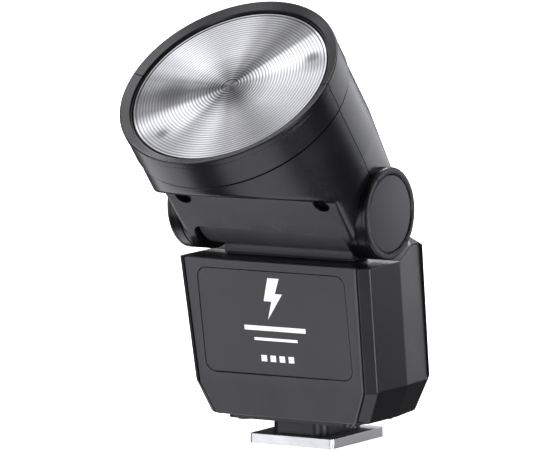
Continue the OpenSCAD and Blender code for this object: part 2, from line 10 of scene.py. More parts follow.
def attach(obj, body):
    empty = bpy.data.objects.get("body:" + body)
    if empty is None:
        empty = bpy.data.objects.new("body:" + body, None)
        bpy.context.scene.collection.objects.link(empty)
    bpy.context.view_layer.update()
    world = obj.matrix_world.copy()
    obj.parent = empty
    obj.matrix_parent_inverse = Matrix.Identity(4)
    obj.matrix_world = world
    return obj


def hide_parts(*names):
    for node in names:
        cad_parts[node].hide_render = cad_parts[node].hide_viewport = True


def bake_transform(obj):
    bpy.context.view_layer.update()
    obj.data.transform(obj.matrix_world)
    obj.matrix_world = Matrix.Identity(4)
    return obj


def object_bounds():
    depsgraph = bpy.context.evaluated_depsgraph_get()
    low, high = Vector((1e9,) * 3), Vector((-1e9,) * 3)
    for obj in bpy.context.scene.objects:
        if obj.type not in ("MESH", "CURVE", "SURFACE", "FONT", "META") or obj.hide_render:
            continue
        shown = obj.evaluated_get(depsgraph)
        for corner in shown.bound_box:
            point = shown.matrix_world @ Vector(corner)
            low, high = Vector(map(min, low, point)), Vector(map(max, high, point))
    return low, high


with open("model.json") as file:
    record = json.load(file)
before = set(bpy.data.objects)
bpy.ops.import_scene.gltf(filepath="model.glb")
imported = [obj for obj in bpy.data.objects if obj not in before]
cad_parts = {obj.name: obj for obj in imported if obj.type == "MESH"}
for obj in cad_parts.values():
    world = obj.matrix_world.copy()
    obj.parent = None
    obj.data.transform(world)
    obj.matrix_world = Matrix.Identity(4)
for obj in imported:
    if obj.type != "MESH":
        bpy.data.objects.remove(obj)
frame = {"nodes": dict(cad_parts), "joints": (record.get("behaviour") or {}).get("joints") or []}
cad_low, cad_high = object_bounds()

# Shapes are measured in millimetres here and made in metres.
MM = 0.001

# ---- Frames and main sizes -------------------------------------------------------------------

# Rest has the head tilted up from its lowest place, which is level.
TILT_JOINT = next(j for j in frame["joints"] if j["name"] == "head_tilt")
HINGE = Vector(TILT_JOINT["pos_m"]) / MM
TILT = math.radians(-TILT_JOINT["range_deg"][0])

# The body leans forward about X. The head's frame has X across, Y to its top and Z along the optical axis.
LEAN = math.radians(8.2)
BODY_FRAME = Matrix.Rotation(LEAN, 4, "X")
HEAD_FRAME = Matrix.Translation(HINGE) @ Matrix.Rotation(math.pi / 2 - TILT, 4, "X")
WORLD_FRAME = Matrix.Identity(4)

# Body: its front and rear faces, and the rear cover's inner face with the clearance in front of it
FRONT_FACE = -10.8 * math.cos(LEAN)
REAR_FACE = 13.4 * math.cos(LEAN)
REAR_NORMAL = Vector((0, math.cos(LEAN), math.sin(LEAN)))
COVER_INNER = 11.184
COVER_CLEARANCE = 0.145

# Head: barrel behind the ring, and how far back each of them reaches
BARREL_R = 21.1
BARREL_BACK = 13.0
BARREL_FILLET = 2.5
RING_BACK = 26.0

# Head: round bosses at the hinge and the fork arms that carry them
BOSS_R = 8.6
BOSS_FACE = 22.0
ARM_IN = 16.7
ARM_OUT = 19.1
KNUCKLE_R = 7.65

# Head: front edge of the opening that the neck swings through, and the radius of its corners
OPENING_FRONT = 2.5
OPENING_CORNER = 2.0

# Head: height of the parting line, and the underside panel with the sloping step in front of it
SPLIT_V = 0.8
PANEL_V = -8.6
STEP_SUM = 2.9
WALL = 1.6

# Lens
LENS_R = 19.2
LENS_BACK = 30.2
LENS_FRONT = 31.7
LENS_PITCH = 0.6
LENS_RIDGES_R = 18.4
RIDGE_COUNT = 28
RIDGE_DEPTH = 0.06

# A size well beyond the object, for cutters
FAR = 60


# ---- Camera, floor and light -----------------------------------------------------------------

MIDDLE = Vector((0, -8, 42)) * MM
LAMP_COLOUR = (0.95, 0.955, 1.0)
WORLD_STRENGTH = 0.06


def view_axes(azimuth, elevation):
    """The direction from the object to a viewer, and the viewer's right. Azimuth 0 is in front."""
    towards = Vector((math.sin(azimuth) * math.cos(elevation),
                      -math.cos(azimuth) * math.cos(elevation), math.sin(elevation)))
    return towards, Vector((math.cos(azimuth), math.sin(azimuth), 0))


def place_camera():
    """A long lens at the front right, a little above the object."""
    azimuth = math.radians(33.14)
    elevation = math.radians(7.23)
    roll = math.radians(-0.94)
    distance = 1297.7
    focal_px = 6972.8
    frame_px = 550
    back, right = view_axes(azimuth, elevation)
    up = back.cross(right)
    target = Vector((0, -8, 40)) + right * -2.98 + up * 1.47
    right_rolled = math.cos(roll) * right + math.sin(roll) * up
    up_rolled = -math.sin(roll) * right + math.cos(roll) * up
    data = bpy.data.cameras.new("Camera")
    data.sensor_width = 36
    data.lens = focal_px * data.sensor_width / frame_px
    data.clip_start = 0.05
    data.clip_end = 50
    camera = bpy.data.objects.new("Camera", data)
    turn = Matrix((right_rolled, up_rolled, back)).transposed().to_4x4()
    camera.matrix_world = Matrix.Translation((target + back * distance) * MM) @ turn
    bpy.context.scene.collection.objects.link(camera)
    bpy.context.scene.camera = camera


def area_light(name, azimuth, elevation, distance, size, radiance):
    """A soft box that faces the object's middle. Azimuth 0 is in front of it and 90 on its +X side,
    distance and size are in metres, and radiance sets its brightness."""
    direction, side = view_axes(math.radians(azimuth), math.radians(elevation))
    data = bpy.data.lights.new(name, "AREA")
    data.shape = "RECTANGLE"
    data.size = size[0]
    data.size_y = size[1]
    data.energy = radiance * math.pi * size[0] * size[1]
    data.color = LAMP_COLOUR
    light = bpy.data.objects.new(name, data)
    turn = Matrix((side, direction.cross(side), direction)).transposed().to_4x4()
    light.matrix_world = Matrix.Translation(MIDDLE + direction * distance) @ turn
    light.visible_camera = False
    bpy.context.scene.collection.objects.link(light)


def place_lights():
    area_light("Front_left", -38, -5, 1.0, (0.76, 0.70), 1.6)
    area_light("Front_high", -24, 40, 1.0, (0.60, 0.46), 3.0)
    area_light("Front_strip", 26, -17, 1.0, (0.40, 0.46), 6.0)
    area_light("Top", 10, 82, 0.9, (0.60, 0.60), 3.2)
    area_light("Below", 78, -68, 0.9, (0.85, 0.70), 1.65)
    area_light("Left_low", -100, -42, 0.9, (0.70, 0.64), 1.45)
    area_light("Left_back", -155, 36, 1.0, (0.44, 0.44), 6.0)
    area_light("Right_back", 169, -1, 1.0, (0.92, 0.32), 1.7)
    area_light("Right_front", 56, -22, 1.0, (0.24, 0.30), 0.8)
    area_light("Right_strip", 90, -14, 1.0, (0.34, 0.46), 8.0)
    area_light("Lens_box", -96, 57, 1.0, (0.80, 0.80), 2.2)
    area_light("Back_high", 170, 46, 1.0, (0.60, 0.60), 2.2)
    world = bpy.data.worlds.new("Studio")
    world.use_nodes = True
    background = world.node_tree.nodes["Background"]
    background.inputs["Color"].default_value = (1, 1, 1, 1)
    background.inputs["Strength"].default_value = WORLD_STRENGTH
    bpy.context.scene.world = world
    bpy.context.scene.view_settings.view_transform = "Standard"


def place_floor():
    """A pale floor, 12 m wide and just below the foot, that neither lights nor darkens the object."""
    gap = 0.00002
    half = 6.0
    corners = [(-half, -half), (half, -half), (half, half), (-half, half)]
    data = bpy.data.meshes.new("Floor")
    data.from_pydata([(x, y, cad_low.z - gap) for x, y in corners], [], [(0, 1, 2, 3)])
    floor = bpy.data.objects.new("Floor", data)
    bpy.context.scene.collection.objects.link(floor)
    material = bpy.data.materials.new("pale_floor")
    material.use_nodes = True
    shader = material.node_tree.nodes["Principled BSDF"]
    shader.inputs["Base Color"].default_value = (0.9, 0.9, 0.9, 1)
    shader.inputs["Roughness"].default_value = 0.9
    shader.inputs["Specular IOR Level"].default_value = 0
    shader.inputs["Emission Color"].default_value = (1, 1, 1, 1)
    shader.inputs["Emission Strength"].default_value = 0.95
    data.materials.append(material)
    floor.visible_diffuse = False
    floor.visible_glossy = False
    floor.visible_transmission = False
    floor.visible_shadow = False


# ---- Materials -------------------------------------------------------------------------------

def linear(hex_colour):
    """Scene-linear RGBA from a hex colour."""
    parts = [int(hex_colour[i:i + 2], 16) / 255 for i in (0, 2, 4)]
    return tuple(c / 12.92 if c <= 0.04045 else ((c + 0.055) / 1.055) ** 2.4 for c in parts) + (1.0,)


def new_material(name):
    """A material with its nodes, links, shader and the object coordinates that its patterns follow."""
    material = bpy.data.materials.new(name)
    material.use_nodes = True
    nodes = material.node_tree.nodes
    links = material.node_tree.links
    shader = nodes["Principled BSDF"]
    coords = nodes.new("ShaderNodeTexCoord")
    return material, nodes, links, shader, coords.outputs["Object"]


def noise_node(nodes, links, coords, size_mm, detail):
    noise = nodes.new("ShaderNodeTexNoise")
    noise.inputs["Scale"].default_value = 1 / (size_mm * MM)
    noise.inputs["Detail"].default_value = detail
    links.new(coords, noise.inputs["Vector"])
    return noise.outputs["Fac"]


def ramp_between(nodes, links, factor, low, high):
    """A colour between two, over the middle part of a noise's range."""
    ramp = nodes.new("ShaderNodeValToRGB")
    ramp.color_ramp.elements[0].position = 0.35
    ramp.color_ramp.elements[1].position = 0.65
    ramp.color_ramp.elements[0].color = low
    ramp.color_ramp.elements[1].color = high
    links.new(factor, ramp.inputs["Fac"])
    return ramp.outputs["Color"]


def map_range(nodes, links, factor, low, high, from_low=0.3, from_high=0.7, smooth_step=False):
    """Scales a factor from one range to another. The first range is a noise's unless it is given."""
    node = nodes.new("ShaderNodeMapRange")
    if smooth_step:
        node.interpolation_type = "SMOOTHSTEP"
    node.inputs["From Min"].default_value = from_low
    node.inputs["From Max"].default_value = from_high
    node.inputs["To Min"].default_value = low
    node.inputs["To Max"].default_value = high
    links.new(factor, node.inputs["Value"])
    return node.outputs["Result"]


def bump(nodes, links, height, strength, depth_mm):
    node = nodes.new("ShaderNodeBump")
    node.inputs["Strength"].default_value = strength
    node.inputs["Distance"].default_value = depth_mm * MM
    links.new(height, node.inputs["Height"])
    return node.outputs["Normal"]


def shade(colour, factor):
    """The colour made lighter or darker."""
    return tuple(min(1.0, c * factor) for c in colour[:3]) + (1.0,)


def plastic(name, hex_colour, rough, grain=0.12, grain_depth=0.012, coat=0.0):
    """Moulded plastic: fine spark-eroded grain, and slow changes of tone and gloss. grain is in mm."""
    vary = 0.06
    material, nodes, links, shader, coords = new_material(name)
    base = linear(hex_colour)
    slow = noise_node(nodes, links, coords, 9, 2)
    fine = noise_node(nodes, links, coords, grain, 2)
    links.new(ramp_between(nodes, links, slow, shade(base, 1 - vary), shade(base, 1 + vary)),
              shader.inputs["Base Color"])
    links.new(map_range(nodes, links, slow, rough - 0.03, rough + 0.03), shader.inputs["Roughness"])
    links.new(bump(nodes, links, fine, 0.35, grain_depth), shader.inputs["Normal"])
    shader.inputs["Coat Weight"].default_value = coat
    shader.inputs["Coat Roughness"].default_value = 0.12
    return material


def with_painted_glow(material, strength):
    """The same material with a little white light of its own: a painted glow that makes print look
    brighter than the studio lamps light it."""
    shader = material.node_tree.nodes["Principled BSDF"]
    shader.inputs["Emission Color"].default_value = (1, 1, 1, 1)
    shader.inputs["Emission Strength"].default_value = strength
    return material


def metal(name, hex_colour, rough, scratch=0.0, grain=0.08):
    """Metal with fine grain, in mm. scratch, from 0 to 1, stretches the grain along X as brushing does."""
    material, nodes, links, shader, coords = new_material(name)
    mapping = nodes.new("ShaderNodeMapping")
    mapping.inputs["Scale"].default_value = (1 - 0.97 * scratch, 1, 1)
    links.new(coords, mapping.inputs["Vector"])
    fine = noise_node(nodes, links, mapping.outputs["Vector"], grain, 4)
    slow = noise_node(nodes, links, coords, 4, 2)
    base = linear(hex_colour)
    links.new(ramp_between(nodes, links, fine, shade(base, 0.92), shade(base, 1.04)),
              shader.inputs["Base Color"])
    links.new(map_range(nodes, links, slow, rough - 0.04, rough + 0.05), shader.inputs["Roughness"])
    links.new(bump(nodes, links, fine, 0.3, 0.006), shader.inputs["Normal"])
    shader.inputs["Metallic"].default_value = 1.0
    return material


def maths(nodes, links, operation, *values):
    """A Math node on numbers or other nodes' outputs."""
    node = nodes.new("ShaderNodeMath")
    node.operation = operation
    for socket, value in zip(node.inputs, values):
        if isinstance(value, (int, float)):
            socket.default_value = value
        else:
            links.new(value, socket)
    return node.outputs["Value"]


def tone_ramp(nodes, links, factor, stops):
    """A smooth ramp of greys; each stop is a place along it and a tone as it looks on a screen."""
    ramp = nodes.new("ShaderNodeValToRGB")
    ramp.color_ramp.interpolation = "EASE"
    elements = ramp.color_ramp.elements
    while len(elements) < len(stops):
        elements.new(0.5)
    for element, (at, tone) in zip(elements, stops):
        element.position = at
        element.color = (tone ** 3, tone ** 3, min(1, 1.01 * tone ** 3), 1)
    links.new(factor, ramp.inputs["Fac"])
    return ramp.outputs["Color"]


# Painted reflections of the bowl behind the lens: tones round the lens from its left side, as (share of a
# turn, tone)
LENS_PAINTED_SECTORS = [
    (0.00, 0.62), (0.04, 0.48), (0.08, 0.56), (0.12, 0.90), (0.17, 0.88), (0.21, 0.72), (0.27, 0.84),
    (0.32, 0.70), (0.38, 0.60), (0.47, 0.74), (0.55, 0.80), (0.60, 0.95), (0.635, 0.90), (0.655, 0.60),
    (0.69, 0.52), (0.74, 0.66), (0.79, 0.82), (0.85, 0.78), (0.92, 0.88), (0.96, 0.78), (1.00, 0.60)]

# Painted reflections: tones outwards from the lens's centre, as (share of its radius, tone)
LENS_PAINTED_ZONES = [
    (0.00, 0.52), (0.066, 0.54), (0.076, 0.72), (0.16, 0.78), (0.30, 0.94), (0.50, 1.0), (0.955, 0.97),
    (0.965, 0.62), (0.975, 1.0), (0.985, 1.0), (0.99, 0.72), (1.00, 0.8)]

# Painted reflections: dark reflections of the tube's ends and of the bowl's side, painted as spots, as
# (degrees, radius, reach, tone at the middle)
LENS_PAINTED_SPOTS = [
    (-166, 11.5, 5.0, 0.45), (-120, 17.5, 6.0, 0.55), (-122, 15.5, 1.8, 0.50),
    (27, 16.6, 4.0, 0.55), (31, 16.2, 2.0, 0.45), (-50, 3.0, 4.5, 0.55)]


def head_coordinates(nodes, links, coords):
    """A point's place in the head's frame, in metres."""
    to_head = HEAD_FRAME.inverted()
    mapping = nodes.new("ShaderNodeMapping")
    mapping.inputs["Rotation"].default_value = to_head.to_euler()
    mapping.inputs["Location"].default_value = to_head.translation * MM
    links.new(coords, mapping.inputs["Vector"])
    return mapping.outputs["Vector"]


def painted_reflection_spot(nodes, links, place, degrees, r, reach, tone):
    """A soft dark spot painted on the lens, standing for a dark reflection."""
    distance = nodes.new("ShaderNodeVectorMath")
    distance.operation = "DISTANCE"
    a = math.radians(degrees)
    distance.inputs[1].default_value = (r * math.cos(a) * MM, r * math.sin(a) * MM, LENS_FRONT * MM)
    links.new(place, distance.inputs[0])
    return map_range(nodes, links, distance.outputs["Value"], tone, 1.0, 0.2 * reach * MM, reach * MM, True)


def painted_furrow_shade(nodes, links, radius):
    """Painted shade: a darker furrow between each pair of ridges, deeper towards the centre and none on
    the centre disc."""
    turns = maths(nodes, links, "MULTIPLY", radius, 2 * math.pi * LENS_R / LENS_PITCH)
    phase = 2 * math.pi * (LENS_RIDGES_R / LENS_PITCH % 1)
    wave = maths(nodes, links, "COSINE", maths(nodes, links, "SUBTRACT", turns, phase))
    furrow = map_range(nodes, links, wave, 1.0, 0.40, -1, 1)
    deeper = map_range(nodes, links, radius, 2.2, 0.8, 0.08, 0.45)
    ribbed = maths(nodes, links, "MULTIPLY", deeper, maths(nodes, links, "GREATER_THAN", radius, 0.07))
    return maths(nodes, links, "POWER", furrow, ribbed)


def lens_material():
    """Clear ribbed lens over a silver bowl: painted reflections in bright and dark sectors about the
    optical axis.
    """
    material, nodes, links, shader, coords = new_material("lens_clear")
    place = head_coordinates(nodes, links, coords)
    parts = nodes.new("ShaderNodeSeparateXYZ")
    links.new(place, parts.inputs["Vector"])
    across = parts.outputs["X"]
    upwards = parts.outputs["Y"]
    angle = maths(nodes, links, "ARCTAN2", upwards, across)
    share = maths(nodes, links, "MULTIPLY_ADD", angle, 0.5 / math.pi, 0.5)
    squares = maths(nodes, links, "ADD", maths(nodes, links, "MULTIPLY", across, across),
                    maths(nodes, links, "MULTIPLY", upwards, upwards))
    radius = maths(nodes, links, "MULTIPLY", maths(nodes, links, "SQRT", squares), 1 / (LENS_R * MM))
    slow = noise_node(nodes, links, coords, 5, 2)
    # Painted reflections and painted furrow shade, multiplied into the base colour
    factors = [tone_ramp(nodes, links, radius, LENS_PAINTED_ZONES), painted_furrow_shade(nodes, links, radius)]
    factors += [painted_reflection_spot(nodes, links, place, *spot) for spot in LENS_PAINTED_SPOTS]
    factors.append(map_range(nodes, links, slow, 0.9, 1.0))
    colour = tone_ramp(nodes, links, share, LENS_PAINTED_SECTORS)
    for factor in factors:
        mix = nodes.new("ShaderNodeMix")
        mix.data_type = "RGBA"
        mix.blend_type = "MULTIPLY"
        mix.inputs["Factor"].default_value = 1.0
        links.new(colour, mix.inputs[6])
        links.new(factor, mix.inputs[7])
        colour = mix.outputs[2]
    links.new(colour, shader.inputs["Base Color"])
    links.new(map_range(nodes, links, slow, 0.30, 0.36), shader.inputs["Roughness"])
    shader.inputs["Metallic"].default_value = 0.75
    shader.inputs["Coat Weight"].default_value = 0.12
    shader.inputs["Coat Roughness"].default_value = 0.1
    return material


def glass_material():
    """Clear glass of the flash tube."""
    material, nodes, links, shader, coords = new_material("tube_glass")
    slow = noise_node(nodes, links, coords, 3, 2)
    links.new(ramp_between(nodes, links, slow, (0.80, 0.84, 0.86, 1), (0.92, 0.94, 0.96, 1)),
              shader.inputs["Base Color"])
    shader.inputs["Roughness"].default_value = 0.05
    shader.inputs["Transmission Weight"].default_value = 0.7
    return material


MATERIALS = {
    "front_plate": plastic("front_plate", "4a4a4c", 0.40),
    "label": plastic("label", "464648", 0.36, grain=0.2),
    "body_shell": plastic("body_shell", "151517", 0.34),
    "head_shell": plastic("head_shell", "0e0e10", 0.28),
    "pivot_cap": plastic("pivot_cap", "3e3e42", 0.34),
    # Lighter copy of the black plastic for the neck block: painted light, as if lamps lit its front
    "neck_painted_light_plastic": plastic("neck_painted_light_plastic", "565658", 0.36),
    "black_plastic": plastic("black_plastic", "101012", 0.40),
    "rubber_key": plastic("rubber_key", "202022", 0.6, grain=0.2),
    "test_key": plastic("test_key", "a8352c", 0.45),
    "silver_key": metal("silver_key", "b4b4b8", 0.3, scratch=0.6),
    "foot_metal": metal("foot_metal", "d6d6d8", 0.34, scratch=0.8),
    "steel": metal("steel", "a8a8ac", 0.3),
    "screw_metal": metal("screw_metal", "3c3c40", 0.35),
    "contact_gold": metal("contact_gold", "d8b05a", 0.25),
    "lens_clear": lens_material(),
    "bowl_metal": metal("bowl_metal", "e8e8ea", 0.12),
    "tube_glass": glass_material(),
    "silicone": plastic("silicone", "d8d2c4", 0.5),
    "board_green": plastic("board_green", "1f5a3c", 0.4, grain=0.3),
    "pack_blue": plastic("pack_blue", "3c62a0", 0.4, coat=0.4),
    "wire_red": plastic("wire_red", "a03030", 0.45),
    "copper_coil": metal("copper_coil", "b06a34", 0.35, scratch=0.9, grain=0.2),
    "display_black": plastic("display_black", "08080a", 0.12, grain=0.4, grain_depth=0.002, coat=0.8),
    "display_grey": plastic("display_grey", "8fa39a", 0.4),
    "bush_nylon": plastic("bush_nylon", "d8d4c4", 0.45),
    # White print glows with painted light, though it is no lamp
    "white_print": with_painted_glow(plastic("white_print", "f4f4f6", 0.5, grain=0.15, grain_depth=0.004), 0.45),
    "grey_print": plastic("grey_print", "b4b4b8", 0.5, grain=0.15, grain_depth=0.004),
    # Display signs glow a little with painted light
    "display_print": with_painted_glow(plastic("display_print", "b8dccf", 0.4, grain_depth=0.002), 0.15),
}


# ---- Mesh tools ------------------------------------------------------------------------------

# Points closer than this, in mm, are merged
MERGE = 1e-5


def link_mesh(name, data):
    """An object for the mesh, in the scene."""
    obj = bpy.data.objects.new(name, data)
    bpy.context.scene.collection.objects.link(obj)
    return obj


def make_object(name, vertices, faces, place=WORLD_FRAME):
    """A mesh object, in millimetres until finish_piece, from points in the given frame."""
    points = [place @ Vector(p) for p in vertices]
    data = bpy.data.meshes.new(name)
    data.from_pydata(points, [], faces)
    data.validate()
    return link_mesh(name, data)


def tidy_mesh(obj, outward=True):
    """Merges points that coincide. outward turns the faces outwards, which is only right on a piece with
    no cavity."""
    bm = bmesh.new()
    bm.from_mesh(obj.data)
    bmesh.ops.remove_doubles(bm, verts=bm.verts, dist=MERGE)
    bmesh.ops.dissolve_degenerate(bm, dist=MERGE, edges=bm.edges)
    if outward:
        bmesh.ops.recalc_face_normals(bm, faces=bm.faces)
    bm.to_mesh(obj.data)
    bm.free()


def applied(obj):
    """Replaces the object's mesh by its evaluated one and removes its modifiers."""
    bpy.context.view_layer.update()
    evaluated = obj.evaluated_get(bpy.context.evaluated_depsgraph_get())
    data = bpy.data.meshes.new_from_object(evaluated)
    old = obj.data
    obj.modifiers.clear()
    obj.data = data
    bpy.data.meshes.remove(old)


def combine(obj, other, operation):
    """Boolean of two closed meshes; the second is used up."""
    modifier = obj.modifiers.new("Boolean", "BOOLEAN")
    modifier.operation = operation
    modifier.solver = "EXACT"
    modifier.object = other
    applied(obj)
    data = other.data
    bpy.data.objects.remove(other)
    bpy.data.meshes.remove(data)
    tidy_mesh(obj, outward=False)


def smooth(obj, angle=32, weighted=True):
    """Smooth shading with edges over the angle kept sharp. weighted evens the normals by face area."""
    obj.data.shade_smooth()
    obj.data.set_sharp_from_angle(angle=math.radians(angle))
    if weighted:
        modifier = obj.modifiers.new("Normals", "WEIGHTED_NORMAL")
        modifier.keep_sharp = True
        modifier.weight = 60
        applied(obj)


def finish_piece(obj, name, body, slot, nodes=(), material=None):
    """Turns a mesh in millimetres into a named piece in metres: what it rides on, replaces and is made
    of. A piece with no body here is attached to nothing."""
    obj.name = name
    obj.data.name = name
    obj.data.transform(Matrix.Scale(MM, 4))
    obj.data.materials.clear()
    obj.data.materials.append(MATERIALS[material or slot])
    if body:
        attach(obj, body)
    if nodes:
        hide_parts(*nodes)


def lathe(profile, columns, place, axis="Z"):
    """A closed solid turned from (radius, height) points, the first and last of them on the axis."""
    count = len(profile)
    points = []
    faces = []
    for i in range(columns):
        a = 2 * math.pi * i / columns
        for r, h in profile:
            if axis == "Z":
                points.append((r * math.cos(a), r * math.sin(a), h))
            else:
                points.append((h, r * math.cos(a), r * math.sin(a)))
        j = (i + 1) % columns
        for k in range(count - 1):
            faces.append((i * count + k, j * count + k, j * count + k + 1, i * count + k + 1))
    obj = make_object("Lathe", points, faces, place)
    tidy_mesh(obj)
    return obj


def side_walls(first, count):
    """Faces between two rings of points, the second right after the first."""
    walls = []
    for i in range(count):
        j = (i + 1) % count
        walls.append((first + i, first + j, first + count + j, first + count + i))
    return walls


def prism(outline, low, high):
    """A closed prism in the head's frame, along X from low to high, with a (Y, Z) outline."""
    count = len(outline)
    points = [(x, y, z) for x in (low, high) for y, z in outline]
    faces = [tuple(range(count)), tuple(range(2 * count - 1, count - 1, -1))]
    obj = make_object("Prism", points, faces + side_walls(0, count), HEAD_FRAME)
    tidy_mesh(obj)
    return obj


def node_mesh(node, change=None):
    """An object with a CAD node's form. change, if given, moves each point."""
    source = frame["nodes"][node].data
    vertices = [v.co / MM for v in source.vertices]
    if change:
        vertices = [change(v) for v in vertices]
    return make_object(node, vertices, [tuple(p.vertices) for p in source.polygons])


def refined(node, body, slot, width, angle=28, min_length=0.0, material=None, change=None):
    """A moulded piece made from a CAD node's form: flat faces merged, its outward edges that are at
    least min_length long rounded, and its normals evened. change moves the form's points before that."""
    obj = node_mesh(node, change)
    bm = bmesh.new()
    bm.from_mesh(obj.data)
    bmesh.ops.remove_doubles(bm, verts=bm.verts, dist=2e-4)
    bmesh.ops.dissolve_degenerate(bm, dist=1e-4, edges=bm.edges)
    bmesh.ops.recalc_face_normals(bm, faces=bm.faces)
    bmesh.ops.dissolve_limit(bm, angle_limit=math.radians(0.4), verts=bm.verts, edges=bm.edges,
                             use_dissolve_boundaries=False, delimit=set())
    chosen = [e for e in bm.edges if e.calc_face_angle_signed(0) > math.radians(angle)
              and e.calc_length() >= min_length]
    bmesh.ops.bevel(bm, geom=chosen, offset=width, offset_type="OFFSET", segments=3, profile=0.5,
                    affect="EDGES", clamp_overlap=False, miter_outer="ARC")
    bmesh.ops.triangulate(bm, faces=[f for f in bm.faces if len(f.verts) > 4])
    bm.to_mesh(obj.data)
    bm.free()
    smooth(obj)
    finish_piece(obj, node + "_piece", body, slot, (node,), material)


def against_housing(point):
    """Brings the rear cover's inner face up to the housing, over the clearance between the CAD parts, so
    that no light shows through the parting line."""
    if point.dot(REAR_NORMAL) < COVER_INNER + 0.05:
        return point - REAR_NORMAL * COVER_CLEARANCE
    return point


# ---- Head shells -----------------------------------------------------------------------------

def smooth_max(a, b, k):
    """The larger of two numbers, rounded over where they are within k of each other."""
    h = min(1.0, max(0.0, 0.5 + 0.5 * (a - b) / k))
    return b * (1 - h) + a * h + k * h * (1 - h)


def circle_points(r, count):
    """Points round a circle, the first of them half a step from the first axis."""
    turns = [2 * math.pi * (i + 0.5) / count for i in range(count)]
    return [(r * math.cos(a), r * math.sin(a)) for a in turns]


def head_solid(shrink, columns, slice_step, profile):
    """The head's closed form, shrunk inwards: a turned barrel, then the tight skin over the barrel's
    rear circle and the two round arm ends, with the underside flattened for the panel and its step.
    profile lists (radius, place along the axis) from the front face back to just before the barrel's
    rear circle."""
    bm = bmesh.new()
    circle = circle_points(BARREL_R - shrink, columns)
    rear_ring = [bm.verts.new((x, v, BARREL_BACK)) for x, v in circle]
    # Rounded turn from the barrel into the skin
    for step in range(1, 9):
        turn = step * math.pi / 16
        for x, v in circle_points(BARREL_R - shrink - BARREL_FILLET * (1 - math.cos(turn)), columns):
            bm.verts.new((x, v, BARREL_BACK - BARREL_FILLET * math.sin(turn)))
    for side in (-1, 1):
        for v, u in circle_points(BOSS_R - shrink, columns // 2):
            bm.verts.new((side * (ARM_OUT - shrink), v, u))
    made = bmesh.ops.convex_hull(bm, input=bm.verts, use_existing_faces=False)
    unused = {g for g in made["geom_interior"] + made["geom_unused"] if isinstance(g, bmesh.types.BMVert)}
    bmesh.ops.delete(bm, geom=list(unused), context="VERTS")
    cap = [f for f in bm.faces if all(abs(v.co.z - BARREL_BACK) < 1e-4 for v in f.verts)]
    bmesh.ops.delete(bm, geom=cap, context="FACES")
    # Slices across the skin, so that its points can follow the underside
    level = BARREL_BACK - slice_step
    while level > -BOSS_R + shrink:
        bmesh.ops.bisect_plane(bm, geom=bm.verts[:] + bm.edges[:] + bm.faces[:], dist=1e-4,
                               plane_co=(0, 0, level), plane_no=(0, 0, 1))
        level -= slice_step
    # Barrel and front ring
    previous = rear_ring
    for r, u in reversed(profile):
        ring = [bm.verts.new((x, v, u)) for x, v in circle_points(r, columns)]
        for k in range(columns):
            m = (k + 1) % columns
            bm.faces.new((previous[k], previous[m], ring[m], ring[k]))
        previous = ring
    bm.faces.new(previous)
    # Underside panel and step
    behind_ring = RING_BACK - 0.2
    for vertex in bm.verts:
        u = vertex.co.z
        if u < behind_ring and vertex.co.y < 0:
            soft = float(np.interp(u, [9, 13], [1.7, 0.7])) if shrink == 0 else 0.3
            floor = -smooth_max(-PANEL_V - shrink, u - STEP_SUM - 1.41 * shrink, 0.5)
            vertex.co.y = smooth_max(vertex.co.y, floor, soft)
    bmesh.ops.remove_doubles(bm, verts=bm.verts, dist=1e-4)
    bmesh.ops.dissolve_degenerate(bm, dist=1e-4, edges=bm.edges)
    bmesh.ops.triangulate(bm, faces=[f for f in bm.faces if f.calc_center_median().z < behind_ring])
    bmesh.ops.recalc_face_normals(bm, faces=bm.faces)
    data = bpy.data.meshes.new("Head")
    bm.to_mesh(data)
    bm.free()
    data.transform(HEAD_FRAME)
    return link_mesh("Head", data)


# Front ring, from the rim's inner lip round its edge and back along the barrel
RIM_PROFILE = [
    (19.45, 31.60), (19.58, 32.06), (19.68, 32.14), (20.98, 32.62), (21.12, 32.70), (21.26, 32.66),
    (21.37, 32.54), (21.40, 32.36), (21.40, 31.62), (21.37, 31.56), (21.28, 31.54), (21.26, 31.44),
    (21.30, 31.34), (21.30, 26.40), (21.24, 26.30), (20.75, 26.28), (20.75, 25.98), (21.03, 25.95),
    (21.10, 25.88)]


# Boss, as (radius, place along the tilt axis): a shadow groove at the arm's edge, another near the face,
# and a rounded rim round the cap's recess
BOSS_PROFILE = [
    (0, 16.73), (8.58, 16.73), (8.58, 19.13), (8.40, 19.16), (8.40, 19.40), (8.60, 19.46), (8.60, 21.02),
    (8.48, 21.08), (8.48, 21.20), (8.60, 21.26), (8.60, 21.66), (8.55, 21.84), (8.42, 21.96),
    (8.24, BOSS_FACE), (7.62, BOSS_FACE), (7.52, 21.96), (7.46, 21.86), (0, 21.87)]

# Stepped hole through a boss, for its bush, axle clip and cap
SOCKET_PROFILE = [
    (0, 15.7), (6.02, 15.7), (6.02, 20.4), (6.6, 20.4), (6.6, 21.2), (7.37, 21.2), (7.37, 23), (0, 23)]

# Recess in the front of the head, for the lens and its retainer
LENS_SEAT = [(0, 23.5), (19.35, 23.5), (19.35, LENS_FRONT), (19.45, 31.75), (19.45, 40), (0, 40)]

# Recess and hole of a head screw, upwards from below the underside panel
SCREW_R = 1.69
SCREW_HOLE = [
    (0, PANEL_V - 3), (SCREW_R, PANEL_V - 3), (SCREW_R, PANEL_V + 1.5), (0.9, PANEL_V + 1.5),
    (0.9, PANEL_V + 13), (0, PANEL_V + 13)]
SCREW_X = 15.2
SCREW_U = 10.3


def barrel_profile():
    """The front ring, then the barrel down to its rear circle."""
    steps = [25.6 - 0.45 * i for i in range(28)]
    return RIM_PROFILE + [(BARREL_R, u) for u in steps if u > BARREL_BACK + 0.2]


def side_lathe(profile, side, columns):
    """A solid turned about the tilt axis, on the given side."""
    return lathe([(r, side * x) for r, x in profile], columns, HEAD_FRAME, "X")


